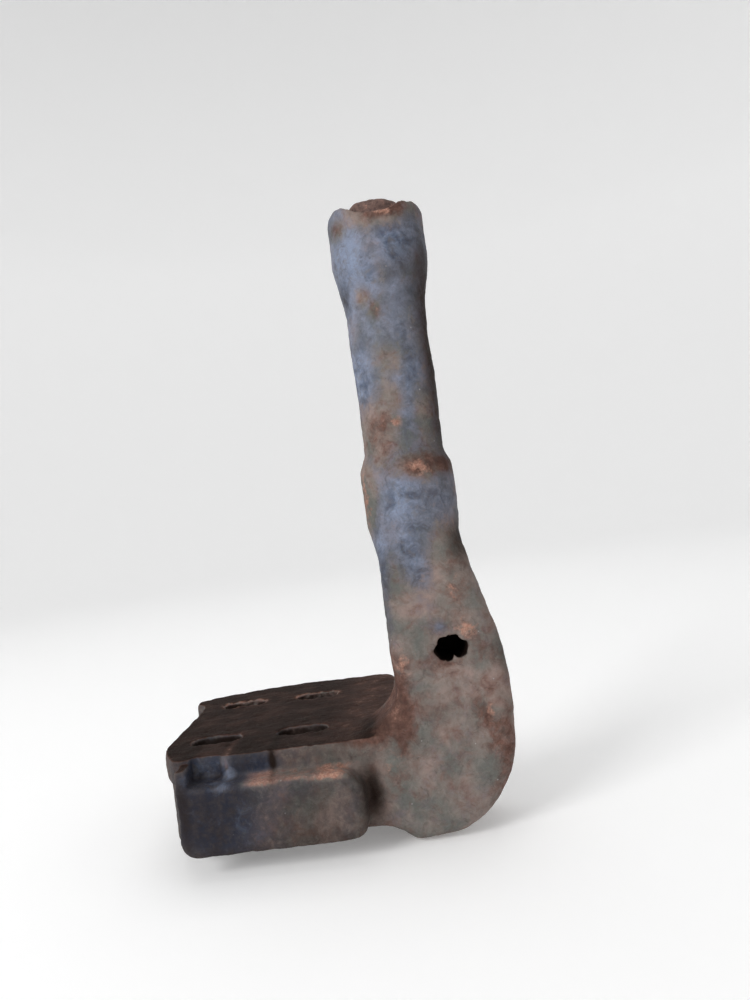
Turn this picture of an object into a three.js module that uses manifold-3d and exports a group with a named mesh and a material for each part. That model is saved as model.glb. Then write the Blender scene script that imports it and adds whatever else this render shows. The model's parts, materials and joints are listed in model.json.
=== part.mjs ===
// Cast pivot hinge bracket: a foot with four slots, a round-heeled elbow and a long tubular barrel.
// A spindle turns in two bushes inside the barrel and rests on a thrust disc at its foot.
//
// Millimetres. Origin: centre of the slot pattern, on the foot's top (mounting) face.
// +Z runs up along the spindle, +X from the foot towards the barrel, +Y from the front face backwards.

import * as THREE from 'three';
import { mergeVertices } from 'three/addons/utils/BufferGeometryUtils.js';
import Module from 'manifold-3d';

const wasm = await Module();
wasm.setup();

// ---------- driving dimensions ----------

const FIT_GAP = 0.3;              // between pieces that touch on the real object
const RUNNING_CLEARANCE = 0.2;    // radial, between what turns and what stands still
const ROUND_STEPS = 40;           // facets round the barrel and what turns in it
const FITTING_STEPS = 20;         // facets round screws and nipples
const OUTLINE_STEPS = 16;         // along each curve of an outline
const MERGE_DISTANCE = 1e-4;      // closer points count as one
const CUT_MARGIN = 5;             // how far a cutting tool runs past the face it opens

// Foot plate and its slots
const SLOT_SPACING_X = 36;
const SLOT_SPACING_Y = 59;
const SLOT_LENGTH = 21;
const SLOT_WIDTH = 11;
const FOOT_FRONT_EDGE = 24.8;     // slot row centre to the plate's front edge
const FOOT_BACK_EDGE = 32;        // slot row centre to the plate's back edge
const FOOT_SIDE_EDGE = 20.8;      // slot column centre to the plate's left edge
const FOOT_THICKNESS = 10;
const FOOT_TAPER = 9.5;           // how far the left edge comes in at the front
const FOOT_TAPER_RUN = 28;
const FOOT_LIP = 6.5;             // flared ear at the back left corner
const FOOT_LIP_LENGTH = 7;
const FOOT_LIP_RUN = 17;
const FOOT_BACK_FALL = 15.5;       // the back edge falls away to the ear
const FOOT_BACK_CORNER = 13;
const FOOT_RIGHT_GAP = 2;         // plate's right edge to the barrel's left side

// Skirt under the foot plate, round a pocket that is open below
const SKIRT_DEPTH = 24;
const SKIRT_INSET = 1;
const POCKET_SLOT_GAP = 3;        // pocket's left side to the end of the slots
const POCKET_BACK_ROOM = 17.5;    // slot row centre to the pocket's back side
const POCKET_RIGHT_WALL = 6;
const POCKET_CORNER = 6;

// Raised block across the front of the foot
const BLOCK_PROUD = 10;
const BLOCK_INSET = 11.8;         // from the plate's left edge
const BLOCK_WALL = 8;             // behind the plate's front edge
const BLOCK_OVERRUN = 25.6;       // past the right slot column
const BLOCK_DROP = 8.3;           // its ledge below the foot's top
const BLOCK_CORNER = 6.5;
const BLOCK_SHOULDER = 12;        // round top right corner
const BLOCK_POST_WIDTH = 4.5;     // left end of the block, which runs up to the plate's top
const BLOCK_EDGE_ROUND = 1.5;
const EDGE_NOTCH_WIDTH = 11.5;
const EDGE_NOTCH_DEPTH = 2;
const EDGE_GROOVE_WIDTH = 1.6;
const EDGE_GROOVE_DEPTH = 1.4;
const EDGE_GROOVE_OFFSET = 9.8;   // left of the right slot column

// Elbow between foot and barrel
const ELBOW_MARGIN = 1.8;         // elbow's flat faces beyond the barrel's surface
const ELBOW_EDGE_ROUND = 6;
const LOBE_RADIUS = 37;
const LOBE_OFFSET = 8.5;          // lobe centre to the left of the spindle axis
const LOBE_DROP = 5.3;            // lobe centre below the foot's top face
const FLANK_HEIGHT = 18;          // where the lobe's straight right side starts to lean in
const CORNER_FILLET = 19;         // between the foot's top and the barrel
const NECK_TOP = 86;              // where the elbow has run out into the barrel
const NECK_TUCK = 0.7;            // neck's left side to the right of the barrel's
const NECK_SPREAD = 100;          // how fast the round neck opens out into the flat elbow
const NECK_FLANK = 17.5;          // right flank of the neck to the spindle axis, under the collar
const ROOT_HOLE_RADIUS = 6.1;
const ROOT_HOLE_OFFSET = 7.6;     // right of the spindle axis
const ROOT_HOLE_HEIGHT = 30;
const ROOT_HOLE_DEPTH = 29;

// Barrel
const SPINDLE_X = 74.5;
const BARREL_WALL = 4.8;          // round the widest part of the bore
const BARREL_TOP = 206.8;
const UPPER_COLLAR_RISE = 3.3;    // above the barrel's surface
const UPPER_COLLAR_LENGTH = 22.8;
const UPPER_COLLAR_TAPER = 20;
const UPPER_COLLAR_ROUND = 4.5;
const RIM_DIP_DEPTH = 6.5;        // the rim is lower at the front, where the pin's head shows
const RIM_DIP_RADIUS = 24;
const LOWER_COLLAR_RISE = 2.7;
const LOWER_COLLAR_BOTTOM = 80;
const LOWER_COLLAR_LENGTH = 22.5;
const LOWER_COLLAR_TAPER = 14;
const LOWER_COLLAR_STEP = 4.5;

// Spindle
const SPINDLE_RADIUS = 8;
const SPINDLE_RELIEF = 0.8;
const SPINDLE_CHAMFER = 1.5;
const HEAD_SHOULDER = 3;          // head beyond the shaft
const HEAD_DEPTH = 12.5;          // underside of the head below the barrel's top
const DOME_HEIGHT = 2.2;
const LAND_EDGE = 3.5;            // dome from the flat land out to the head's side
const TAPPED_HOLE_RADIUS = 3.4;
const TAPPED_HOLE_DEPTH = 14;
const GROOVE_DEPTH = 2;
const GROOVE_WIDTH = 8;

// Bushes, thrust disc and dust seal
const BUSH_WALL = 2.5;
const BUSH_CHAMFER = 0.8;
const UPPER_BUSH_LENGTH = 26;
const LOWER_BUSH_LENGTH = 24;
const BUSH_OIL_HOLE_RADIUS = 1.5;
const BORE_RELIEF = 0.4;
const BORE_FLOOR = 51;
const DISC_THICKNESS = 3;
const DISC_POCKET_MARGIN = 1.4;   // beyond the shaft
const SEAL_POCKET_MARGIN = 2.6;   // beyond the head
const SEAL_HEIGHT = 4;
const SEAL_LIP = 0.9;

// Retaining screw and its lock nut, at the back of the neck
const SCREW_RADIUS = 4;
const SCREW_POINT_RADIUS = 2.8;
const SCREW_POINT_LENGTH = 4;
const SCREW_HEAD_WIDTH = 8.5;
const SCREW_HEAD_LENGTH = 8;
const SCREW_HEIGHT = 62;
const NUT_ACROSS_FLATS = 13;
const NUT_THICKNESS = 6.5;
const THREAD_CLEARANCE = 0.3;
const SCREW_STAND_OFF = 2;        // free thread between nut and head

// Grease nipples, at the back of the collars
const NIPPLE_SHANK_RADIUS = 3;
const NIPPLE_ACROSS_FLATS = 7;
const NIPPLE_HEX_HEIGHT = 4;
const NIPPLE_NECK_RADIUS = 2.1;
const NIPPLE_BALL_RADIUS = 3.1;
const NIPPLE_TIP_HEIGHT = 9.5;
const NIPPLE_PORT_RADIUS = 0.9;

// ---------- worked out from the above ----------

const BUSH_INNER = SPINDLE_RADIUS + RUNNING_CLEARANCE;
const BUSH_OUTER = BUSH_INNER + BUSH_WALL;
const BUSH_SEAT = BUSH_OUTER + FIT_GAP;
const HEAD_RADIUS = SPINDLE_RADIUS + HEAD_SHOULDER;
const LAND_RADIUS = HEAD_RADIUS - LAND_EDGE;
const DISC_POCKET_RADIUS = SPINDLE_RADIUS + DISC_POCKET_MARGIN;
const SEAL_POCKET_RADIUS = HEAD_RADIUS + SEAL_POCKET_MARGIN;
const BARREL_RADIUS = BUSH_SEAT + BORE_RELIEF + BARREL_WALL;
const UPPER_COLLAR_RADIUS = BARREL_RADIUS + UPPER_COLLAR_RISE;
const LOWER_COLLAR_RADIUS = BARREL_RADIUS + LOWER_COLLAR_RISE;
const ELBOW_THICKNESS = 2 * (BARREL_RADIUS + ELBOW_MARGIN);

const FOOT_LEFT = -SLOT_SPACING_X / 2 - FOOT_SIDE_EDGE;
const FOOT_FRONT = -SLOT_SPACING_Y / 2 - FOOT_FRONT_EDGE;
const FOOT_BACK = SLOT_SPACING_Y / 2 + FOOT_BACK_EDGE;
const FOOT_UNDERSIDE = -FOOT_THICKNESS;
const SKIRT_BOTTOM = FOOT_UNDERSIDE - SKIRT_DEPTH;
const BLOCK_LEFT = FOOT_LEFT + BLOCK_INSET;
const BLOCK_RIGHT = SLOT_SPACING_X / 2 + BLOCK_OVERRUN;
const BLOCK_FACE = FOOT_FRONT - BLOCK_PROUD;
const ELBOW_BACK = FOOT_FRONT + ELBOW_THICKNESS;
const SPINDLE_Y = FOOT_FRONT + ELBOW_THICKNESS / 2;
const BARREL_LEFT = SPINDLE_X - BARREL_RADIUS;
const FOOT_RIGHT = BARREL_LEFT - FOOT_RIGHT_GAP;
const LOBE_X = SPINDLE_X - LOBE_OFFSET;

const HEAD_SEAT = BARREL_TOP - HEAD_DEPTH;
const UPPER_BUSH_BOTTOM = HEAD_SEAT - UPPER_BUSH_LENGTH;
const LOWER_BUSH_BOTTOM = LOWER_COLLAR_BOTTOM;
const LOWER_BUSH_TOP = LOWER_BUSH_BOTTOM + LOWER_BUSH_LENGTH;
const SPINDLE_FOOT = BORE_FLOOR + DISC_THICKNESS + 2 * FIT_GAP;
const SPINDLE_TOP = BARREL_TOP + DOME_HEIGHT;
const UPPER_NIPPLE_HEIGHT = UPPER_BUSH_BOTTOM + UPPER_BUSH_LENGTH / 2;
const LOWER_NIPPLE_HEIGHT = LOWER_BUSH_BOTTOM + LOWER_BUSH_LENGTH / 2;

// ---------- solids ----------

function toSolid(geometry) {
  const bare = geometry.clone();
  bare.deleteAttribute('normal');
  bare.deleteAttribute('uv');
  const merged = mergeVertices(bare, MERGE_DISTANCE);
  return new wasm.Manifold(new wasm.Mesh({
    numProp: 3,
    vertProperties: new Float32Array(merged.attributes.position.array),
    triVerts: new Uint32Array(merged.index.array),
  }));
}

function toGeometry(solid) {
  const { vertProperties, triVerts } = solid.getMesh();
  const geometry = new THREE.BufferGeometry();
  geometry.setAttribute('position', new THREE.BufferAttribute(vertProperties, 3));
  geometry.setIndex(new THREE.BufferAttribute(triVerts, 1));
  geometry.computeVertexNormals();
  return geometry;
}

// A shape in plan (X, Y), extruded from one height to another.
function prism(shape, bottom, top) {
  const geometry = new THREE.ExtrudeGeometry(shape, {
    depth: top - bottom, bevelEnabled: false, curveSegments: 12,
  });
  return toSolid(geometry.translate(0, 0, bottom));
}

// The shape's points without repeats, which would spoil a rounded edge.
function distinctOutline(shape) {
  const points = shape.getPoints(OUTLINE_STEPS);
  return new THREE.Shape(points.filter(
    (point, i) => point.distanceTo(points[(i + 1) % points.length]) > MERGE_DISTANCE));
}

// A shape in elevation (X, Z), extruded from front to back, its edges rounded where round > 0.
function slab(shape, front, back, round = 0) {
  const geometry = new THREE.ExtrudeGeometry(distinctOutline(shape), {
    depth: back - front - 2 * round,
    bevelEnabled: round > 0,
    bevelThickness: round,
    bevelSize: round,
    bevelOffset: -round,
    bevelSegments: 4,
  });
  return toSolid(geometry.rotateX(Math.PI / 2).translate(0, back - round, 0));
}

function box(left, right, front, back, bottom, top) {
  const geometry = new THREE.BoxGeometry(right - left, back - front, top - bottom);
  geometry.translate((left + right) / 2, (front + back) / 2, (bottom + top) / 2);
  return toSolid(geometry);
}

// A turned solid on the local Z axis, from [radius, height] pairs that start and end on the axis
// or close on themselves.
function turned(profile, steps = ROUND_STEPS) {
  const points = profile.map(([radius, height]) => new THREE.Vector2(radius, height));
  return toSolid(new THREE.LatheGeometry(points, steps).rotateX(Math.PI / 2));
}

function rod(radius, bottom, top, steps = ROUND_STEPS) {
  return turned([[0, bottom], [radius, bottom], [radius, top], [0, top]], steps);
}

function sleeve(inner, outer, bottom, top, chamfer) {
  return turned([
    [inner, bottom], [outer - chamfer, bottom], [outer, bottom + chamfer],
    [outer, top - chamfer], [outer - chamfer, top], [inner, top], [inner, bottom],
  ]);
}

// A bar on the local Z axis with flat sides.
function flatSided(sides, acrossFlats, bottom, top) {
  const cornerRadius = acrossFlats / 2 / Math.cos(Math.PI / sides);
  const geometry = new THREE.CylinderGeometry(cornerRadius, cornerRadius, top - bottom, sides);
  geometry.rotateX(Math.PI / 2).rotateZ(Math.PI / sides).translate(0, 0, (top + bottom) / 2);
  return toSolid(geometry);
}

function union(solids) {
  return solids.reduce((sum, solid) => sum.add(solid));
}

// Local +Z turned to point backwards (+Y), at a height on the spindle's centre plane.
function pointingBack(solid, distance, height) {
  const turn = new THREE.Matrix4().makeRotationX(-Math.PI / 2);
  const place = new THREE.Matrix4().makeTranslation(SPINDLE_X, SPINDLE_Y + distance, height);
  return solid.transform(place.multiply(turn).elements);
}

function onSpindleAxis(solid) {
  return solid.translate([SPINDLE_X, SPINDLE_Y, 0]);
}

// ---------- outlines ----------

function roundedRectangle(left, right, front, back, corner) {
  const shape = new THREE.Shape();
  shape.moveTo(left + corner, front);
  shape.lineTo(right - corner, front);
  shape.absarc(right - corner, front + corner, corner, -Math.PI / 2, 0, false);
  shape.lineTo(right, back - corner);
  shape.absarc(right - corner, back - corner, corner, 0, Math.PI / 2, false);
  shape.lineTo(left + corner, back);
  shape.absarc(left + corner, back - corner, corner, Math.PI / 2, Math.PI, false);
  shape.lineTo(left, front + corner);
  shape.absarc(left + corner, front + corner, corner, Math.PI, 1.5 * Math.PI, false);
  return shape;
}

// The plate in plan. The left edge comes in at the front; the back left corner flares into an ear.
function footOutline(inset, lip) {
  const left = FOOT_LEFT + inset;
  const right = FOOT_RIGHT - inset;
  const front = FOOT_FRONT + inset;
  const back = FOOT_BACK - inset;
  const lipBack = back - FOOT_BACK_FALL;
  const lipFront = lipBack - FOOT_LIP_LENGTH;
  const shape = new THREE.Shape();
  shape.moveTo(left + FOOT_TAPER, front);
  shape.lineTo(right, front);
  shape.lineTo(right, back - FOOT_BACK_CORNER);
  shape.quadraticCurveTo(right, back, right - FOOT_BACK_CORNER, back);
  shape.lineTo(left + 3 * FOOT_BACK_FALL, back);
  shape.quadraticCurveTo(left + FOOT_BACK_FALL / 2, back - FOOT_BACK_FALL / 4, left - lip, lipBack);
  shape.lineTo(left - lip, lipFront);
  shape.quadraticCurveTo(left, lipFront, left, lipFront - FOOT_LIP_RUN);
  shape.lineTo(left, front + FOOT_TAPER_RUN);
  shape.quadraticCurveTo(left, front + FOOT_TAPER_RUN / 2, left + FOOT_TAPER, front);
  return shape;
}

function slotOutline(x, y) {
  const end = SLOT_LENGTH / 2 - SLOT_WIDTH / 2;
  const radius = SLOT_WIDTH / 2;
  const shape = new THREE.Shape();
  shape.moveTo(x - end, y - radius);
  shape.lineTo(x + end, y - radius);
  shape.absarc(x + end, y, radius, -Math.PI / 2, Math.PI / 2, false);
  shape.lineTo(x - end, y + radius);
  shape.absarc(x - end, y, radius, Math.PI / 2, 1.5 * Math.PI, false);
  return shape;
}

// Seen from the front: the block with its round right shoulder.
function blockOutline() {
  const top = -BLOCK_DROP;
  const shape = new THREE.Shape();
  shape.moveTo(BLOCK_LEFT + BLOCK_CORNER, SKIRT_BOTTOM);
  shape.lineTo(BLOCK_RIGHT - BLOCK_CORNER, SKIRT_BOTTOM);
  shape.absarc(
    BLOCK_RIGHT - BLOCK_CORNER, SKIRT_BOTTOM + BLOCK_CORNER, BLOCK_CORNER, -Math.PI / 2, 0, false);
  shape.lineTo(BLOCK_RIGHT, top - BLOCK_SHOULDER);
  shape.absarc(BLOCK_RIGHT - BLOCK_SHOULDER, top - BLOCK_SHOULDER, BLOCK_SHOULDER, 0, Math.PI / 2, false);
  shape.lineTo(BLOCK_LEFT, top);
  shape.lineTo(BLOCK_LEFT, SKIRT_BOTTOM + BLOCK_CORNER);
  shape.absarc(
    BLOCK_LEFT + BLOCK_CORNER, SKIRT_BOTTOM + BLOCK_CORNER, BLOCK_CORNER, Math.PI, 1.5 * Math.PI, false);
  return shape;
}

// Seen from the front: the neck, the flank, the round heel, and the fillet down to the foot.
function elbowOutline() {
  const heelEnd = -1.75;            // radians round the lobe, from +X
  const lobeRight = LOBE_X + LOBE_RADIUS;
  const neckRight = SPINDLE_X + NECK_FLANK;
  const neckLeft = BARREL_LEFT + NECK_TUCK;
  const flankTop = LOWER_COLLAR_BOTTOM - LOWER_COLLAR_TAPER / 2;
  const flankRun = flankTop - FLANK_HEIGHT;
  const rootLeft = BARREL_LEFT - CORNER_FILLET - ELBOW_EDGE_ROUND;
  const shape = new THREE.Shape();
  shape.moveTo(neckRight, NECK_TOP);
  shape.lineTo(neckLeft, NECK_TOP);
  shape.lineTo(neckLeft, CORNER_FILLET);
  shape.absarc(neckLeft - CORNER_FILLET, CORNER_FILLET, CORNER_FILLET, 0, -Math.PI / 2, true);
  shape.lineTo(rootLeft, 0);
  shape.lineTo(rootLeft, SKIRT_BOTTOM);
  shape.lineTo(BLOCK_RIGHT, SKIRT_BOTTOM - 1);
  shape.quadraticCurveTo(
    BLOCK_RIGHT + 10, SKIRT_BOTTOM - 2,
    LOBE_X + LOBE_RADIUS * Math.cos(heelEnd), -LOBE_DROP + LOBE_RADIUS * Math.sin(heelEnd));
  shape.absarc(LOBE_X, -LOBE_DROP, LOBE_RADIUS, heelEnd, 0, false);
  shape.lineTo(lobeRight, FLANK_HEIGHT);
  shape.bezierCurveTo(
    lobeRight, FLANK_HEIGHT + 0.33 * flankRun,
    neckRight + 1.5, flankTop - 0.3 * flankRun, neckRight, flankTop);
  return shape;
}

// ---------- the casting ----------

function barrelBlank() {
  const upperBottom = BARREL_TOP - UPPER_COLLAR_LENGTH;
  const lowerTop = LOWER_COLLAR_BOTTOM + LOWER_COLLAR_LENGTH;
  const profile = [
    [0, ROOT_HOLE_HEIGHT + 2 * ROOT_HOLE_RADIUS],
    [BARREL_RADIUS, ROOT_HOLE_HEIGHT + 2 * ROOT_HOLE_RADIUS],
    [BARREL_RADIUS, LOWER_COLLAR_BOTTOM - LOWER_COLLAR_TAPER],
    [LOWER_COLLAR_RADIUS, LOWER_COLLAR_BOTTOM],
    [LOWER_COLLAR_RADIUS, lowerTop - 1],
    [LOWER_COLLAR_RADIUS - 0.6, lowerTop + 0.4],
    [BARREL_RADIUS + 0.6, lowerTop + LOWER_COLLAR_STEP - 0.6],
    [BARREL_RADIUS, lowerTop + LOWER_COLLAR_STEP + 1],
    [BARREL_RADIUS, upperBottom - UPPER_COLLAR_TAPER],
    [BARREL_RADIUS + 0.5, upperBottom - 0.7 * UPPER_COLLAR_TAPER],
    [UPPER_COLLAR_RADIUS - 0.4, upperBottom - 0.1 * UPPER_COLLAR_TAPER],
    [UPPER_COLLAR_RADIUS, upperBottom + 2],
  ];
  const roundSteps = 6;
  for (let i = 0; i <= roundSteps; i += 1) {
    const angle = (Math.PI / 2) * (i / roundSteps);
    profile.push([
      UPPER_COLLAR_RADIUS - UPPER_COLLAR_ROUND * (1 - Math.cos(angle)),
      BARREL_TOP - UPPER_COLLAR_ROUND * (1 - Math.sin(angle)),
    ]);
  }
  profile.push([0, BARREL_TOP]);
  return onSpindleAxis(turned(profile));
}

// Round at the neck and opening out below it, so that the flat elbow grows from a round barrel.
function neckEnvelope() {
  const floor = SKIRT_BOTTOM - LOBE_RADIUS;
  const steps = 12;
  const profile = [[0, floor]];
  for (let i = 0; i <= steps; i += 1) {
    const height = NECK_TOP * (i / steps);
    const spread = NECK_SPREAD * (1 - i / steps) ** 2;
    if (i === 0) {
      profile.push([BARREL_RADIUS + spread, floor]);
    }
    profile.push([BARREL_RADIUS + spread, height]);
  }
  profile.push([0, NECK_TOP]);
  return onSpindleAxis(turned(profile));
}

function footBlank() {
  const skirtTop = FOOT_UNDERSIDE / 2;
  const pocketLeft = -SLOT_SPACING_X / 2 - SLOT_LENGTH / 2 - POCKET_SLOT_GAP;
  const pocket = roundedRectangle(
    pocketLeft, FOOT_RIGHT - POCKET_RIGHT_WALL,
    FOOT_FRONT + BLOCK_WALL, SLOT_SPACING_Y / 2 + POCKET_BACK_ROOM, POCKET_CORNER);
  const skirt = prism(footOutline(SKIRT_INSET, 0), SKIRT_BOTTOM, skirtTop);
  return union([
    prism(footOutline(0, FOOT_LIP), FOOT_UNDERSIDE, 0),
    skirt,
    slab(blockOutline(), BLOCK_FACE, FOOT_FRONT + BLOCK_WALL, BLOCK_EDGE_ROUND),
    box(BLOCK_LEFT, BLOCK_LEFT + BLOCK_POST_WIDTH, BLOCK_FACE + BLOCK_EDGE_ROUND,
      FOOT_FRONT + BLOCK_WALL, -BLOCK_DROP - BLOCK_CORNER, -BLOCK_EDGE_ROUND),
  ]).subtract(prism(pocket, SKIRT_BOTTOM - CUT_MARGIN, FOOT_UNDERSIDE));
}

function slotCutters() {
  const cutters = [];
  for (const sideX of [-1, 1]) {
    for (const sideY of [-1, 1]) {
      const outline = slotOutline(sideX * SLOT_SPACING_X / 2, sideY * SLOT_SPACING_Y / 2);
      cutters.push(prism(outline, FOOT_UNDERSIDE - CUT_MARGIN, CUT_MARGIN));
    }
  }
  return cutters;
}

function frontEdgeCutters() {
  const notchLeft = BLOCK_LEFT + BLOCK_POST_WIDTH;
  const grooveX = SLOT_SPACING_X / 2 - EDGE_GROOVE_OFFSET;
  return [
    box(notchLeft, notchLeft + EDGE_NOTCH_WIDTH, FOOT_FRONT - CUT_MARGIN, FOOT_FRONT + EDGE_NOTCH_DEPTH,
      -BLOCK_DROP, CUT_MARGIN),
    box(grooveX - EDGE_GROOVE_WIDTH / 2, grooveX + EDGE_GROOVE_WIDTH / 2, FOOT_FRONT - CUT_MARGIN,
      FOOT_FRONT + EDGE_GROOVE_DEPTH, -BLOCK_DROP, CUT_MARGIN),
  ];
}

// One stepped bore, opened from the top: seal pocket, bush seats with a relieved middle, disc pocket.
function barrelBore() {
  const upperSeatFoot = UPPER_BUSH_BOTTOM - FIT_GAP;
  const relieved = BUSH_SEAT + BORE_RELIEF;
  return onSpindleAxis(turned([
    [0, BORE_FLOOR],
    [DISC_POCKET_RADIUS, BORE_FLOOR],
    [DISC_POCKET_RADIUS, LOWER_BUSH_BOTTOM - FIT_GAP],
    [BUSH_SEAT, LOWER_BUSH_BOTTOM - FIT_GAP],
    [BUSH_SEAT, LOWER_BUSH_TOP],
    [relieved, LOWER_BUSH_TOP + BORE_RELIEF],
    [relieved, upperSeatFoot - BORE_RELIEF],
    [BUSH_SEAT, upperSeatFoot],
    [BUSH_SEAT, HEAD_SEAT - FIT_GAP],
    [SEAL_POCKET_RADIUS, HEAD_SEAT - FIT_GAP],
    [SEAL_POCKET_RADIUS, BARREL_TOP + CUT_MARGIN],
    [0, BARREL_TOP + CUT_MARGIN],
  ]));
}

// A shallow dip in the front of the top rim, in front of the pin's head.
function rimDip() {
  const tool = rod(RIM_DIP_RADIUS, -UPPER_COLLAR_RADIUS - CUT_MARGIN, -LAND_RADIUS);
  return pointingBack(tool, 0, BARREL_TOP + RIM_DIP_RADIUS - RIM_DIP_DEPTH);
}

// From the barrel's bore straight out at the back.
function backHole(radius, height) {
  return pointingBack(rod(radius, 0, ELBOW_THICKNESS / 2 + CUT_MARGIN, FITTING_STEPS), 0, height);
}

function bracketCasting() {
  const elbow = slab(elbowOutline(), FOOT_FRONT, ELBOW_BACK, ELBOW_EDGE_ROUND).intersect(neckEnvelope());
  const blank = union([footBlank(), elbow, barrelBlank()]);
  const rootHole = rod(ROOT_HOLE_RADIUS, -CUT_MARGIN, ROOT_HOLE_DEPTH);
  const cutters = [
    ...slotCutters(),
    ...frontEdgeCutters(),
    barrelBore(),
    rimDip(),
    pointingBack(rootHole, -ELBOW_THICKNESS / 2, ROOT_HOLE_HEIGHT).translate([ROOT_HOLE_OFFSET, 0, 0]),
    backHole(SCREW_RADIUS + THREAD_CLEARANCE, SCREW_HEIGHT),
    backHole(NIPPLE_SHANK_RADIUS + FIT_GAP, UPPER_NIPPLE_HEIGHT),
    backHole(NIPPLE_SHANK_RADIUS + FIT_GAP, LOWER_NIPPLE_HEIGHT),
  ];
  return cutters.reduce((left, cutter) => left.subtract(cutter), blank);
}

// ---------- the pieces inside ----------

function hingePin() {
  const waist = SPINDLE_RADIUS - SPINDLE_RELIEF;
  const groove = SPINDLE_RADIUS - GROOVE_DEPTH;
  const domeSteps = 5;
  const profile = [
    [0, SPINDLE_FOOT],
    [SPINDLE_RADIUS - SPINDLE_CHAMFER, SPINDLE_FOOT],
    [SPINDLE_RADIUS, SPINDLE_FOOT + SPINDLE_CHAMFER],
    [SPINDLE_RADIUS, SCREW_HEIGHT - GROOVE_WIDTH / 2],
    [groove, SCREW_HEIGHT - GROOVE_WIDTH / 2],
    [groove, SCREW_HEIGHT + GROOVE_WIDTH / 2],
    [SPINDLE_RADIUS, SCREW_HEIGHT + GROOVE_WIDTH / 2],
    [SPINDLE_RADIUS, LOWER_BUSH_TOP + 1],
    [waist, LOWER_BUSH_TOP + 1 + SPINDLE_RELIEF],
    [waist, UPPER_BUSH_BOTTOM - 1 - SPINDLE_RELIEF],
    [SPINDLE_RADIUS, UPPER_BUSH_BOTTOM - 1],
    [SPINDLE_RADIUS, HEAD_SEAT + FIT_GAP],
    [HEAD_RADIUS, HEAD_SEAT + FIT_GAP],
    [HEAD_RADIUS, BARREL_TOP],
  ];
  for (let i = 1; i <= domeSteps; i += 1) {
    const angle = (Math.PI / 2) * (i / domeSteps);
    profile.push([
      LAND_RADIUS + (HEAD_RADIUS - LAND_RADIUS) * Math.cos(angle),
      BARREL_TOP + DOME_HEIGHT * Math.sin(angle),
    ]);
  }
  profile.push([TAPPED_HOLE_RADIUS + 0.6, SPINDLE_TOP]);
  profile.push([TAPPED_HOLE_RADIUS, SPINDLE_TOP - 0.6]);
  profile.push([TAPPED_HOLE_RADIUS, SPINDLE_TOP - TAPPED_HOLE_DEPTH]);
  profile.push([0, SPINDLE_TOP - TAPPED_HOLE_DEPTH - TAPPED_HOLE_RADIUS / 2]);
  return onSpindleAxis(turned(profile));
}

function bush(bottom, length) {
  const body = onSpindleAxis(sleeve(BUSH_INNER, BUSH_OUTER, bottom, bottom + length, BUSH_CHAMFER));
  const oilHole = rod(BUSH_OIL_HOLE_RADIUS, 0, BUSH_OUTER + CUT_MARGIN, FITTING_STEPS);
  return body.subtract(pointingBack(oilHole, 0, bottom + length / 2));
}

function thrustDisc() {
  return onSpindleAxis(rod(DISC_POCKET_RADIUS - FIT_GAP, BORE_FLOOR + FIT_GAP,
    BORE_FLOOR + FIT_GAP + DISC_THICKNESS));
}

// A square-edged ring with a thinner lip that wipes the spindle's head.
function dustSeal() {
  const inner = HEAD_RADIUS + RUNNING_CLEARANCE;
  const outer = SEAL_POCKET_RADIUS - FIT_GAP;
  const top = HEAD_SEAT + SEAL_HEIGHT;
  return onSpindleAxis(turned([
    [inner + SEAL_LIP / 2, HEAD_SEAT],
    [outer, HEAD_SEAT],
    [outer, top],
    [inner + SEAL_LIP, top],
    [inner, top + SEAL_LIP],
    [inner, top - SEAL_LIP],
    [inner + SEAL_LIP / 2, HEAD_SEAT],
  ]));
}

// ---------- fittings at the back ----------

function retainingScrew() {
  const pointEnd = SPINDLE_RADIUS - GROOVE_DEPTH + 2 * FIT_GAP;
  const shankEnd = ELBOW_THICKNESS / 2 + FIT_GAP + NUT_THICKNESS + SCREW_STAND_OFF;
  return pointingBack(union([
    turned([
      [0, pointEnd],
      [SCREW_POINT_RADIUS, pointEnd],
      [SCREW_POINT_RADIUS, pointEnd + SCREW_POINT_LENGTH],
      [SCREW_RADIUS, pointEnd + SCREW_POINT_LENGTH + SCREW_RADIUS - SCREW_POINT_RADIUS],
      [SCREW_RADIUS, shankEnd + 1],
      [0, shankEnd + 1],
    ], FITTING_STEPS),
    flatSided(4, SCREW_HEAD_WIDTH, shankEnd, shankEnd + SCREW_HEAD_LENGTH),
  ]), 0, SCREW_HEIGHT);
}

function lockNut() {
  const seat = ELBOW_THICKNESS / 2 + FIT_GAP;
  const chamferRadius = NUT_ACROSS_FLATS / 2 + 0.5;
  const chamfered = turned([
    [0, seat], [chamferRadius, seat], [chamferRadius + 1.2, seat + 0.8],
    [chamferRadius + 1.2, seat + NUT_THICKNESS - 0.8], [chamferRadius, seat + NUT_THICKNESS],
    [0, seat + NUT_THICKNESS],
  ], FITTING_STEPS);
  const hexagon = flatSided(6, NUT_ACROSS_FLATS, seat, seat + NUT_THICKNESS).intersect(chamfered);
  const thread = rod(
    SCREW_RADIUS + THREAD_CLEARANCE, seat - CUT_MARGIN, seat + NUT_THICKNESS + CUT_MARGIN, FITTING_STEPS);
  return pointingBack(hexagon.subtract(thread), 0, SCREW_HEIGHT);
}

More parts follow.
